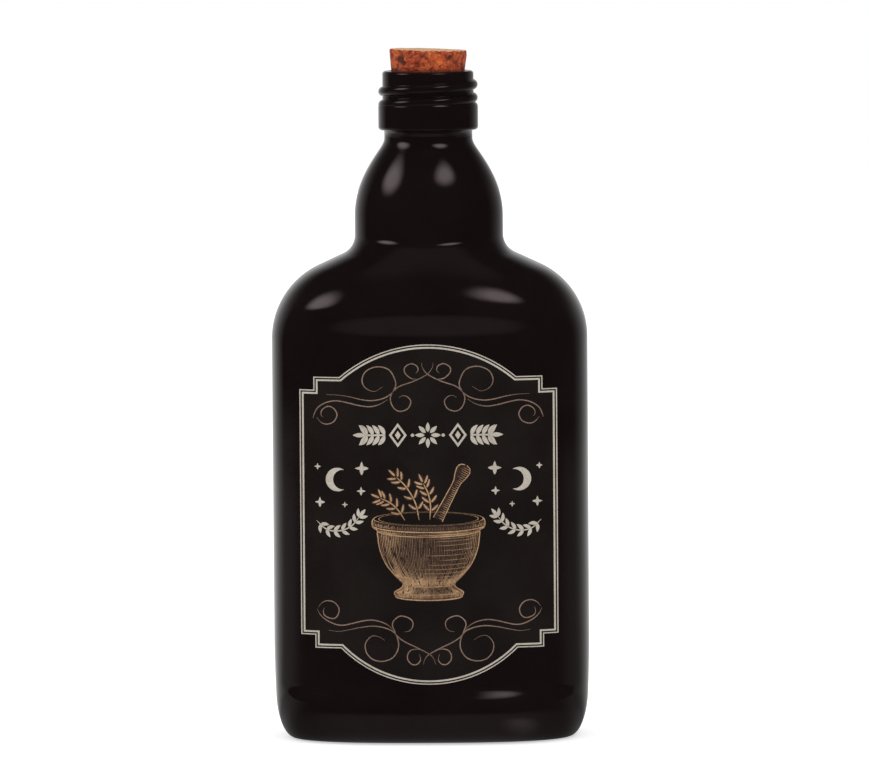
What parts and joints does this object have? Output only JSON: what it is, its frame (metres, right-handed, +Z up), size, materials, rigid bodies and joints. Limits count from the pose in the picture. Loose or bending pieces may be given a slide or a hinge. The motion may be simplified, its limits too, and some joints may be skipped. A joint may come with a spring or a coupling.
{
  "type": "corked flask bottle",
  "caption": "Flattened black glass flask bottle with sunk label panels, a round bulb under the neck, a threaded mouth closed by a tapered cork, and a die-cut paper label.",
  "frame": {"origin": "centre of the base, on the surface the bottle stands on", "axes": "+Z up along the neck, +X to the right as seen from the front, the label faces -Y"},
  "size_m": [0.089, 0.0664, 0.1941],
  "materials": {
    "black_glass": "glossy opaque black glass",
    "natural_cork": "raw natural cork",
    "label_paper": "dark printed paper"
  },
  "bodies": {
    "bottle": {"bottle": "black_glass", "front_label": "label_paper"},
    "stopper": {"cork_stopper": "natural_cork"}
  },
  "joints": [
    {"name": "cork_pull", "type": "slide", "parent": "bottle", "child": "stopper", "axis": [0, 0, 1], "range_m": [0, 0.03]}
  ]
}
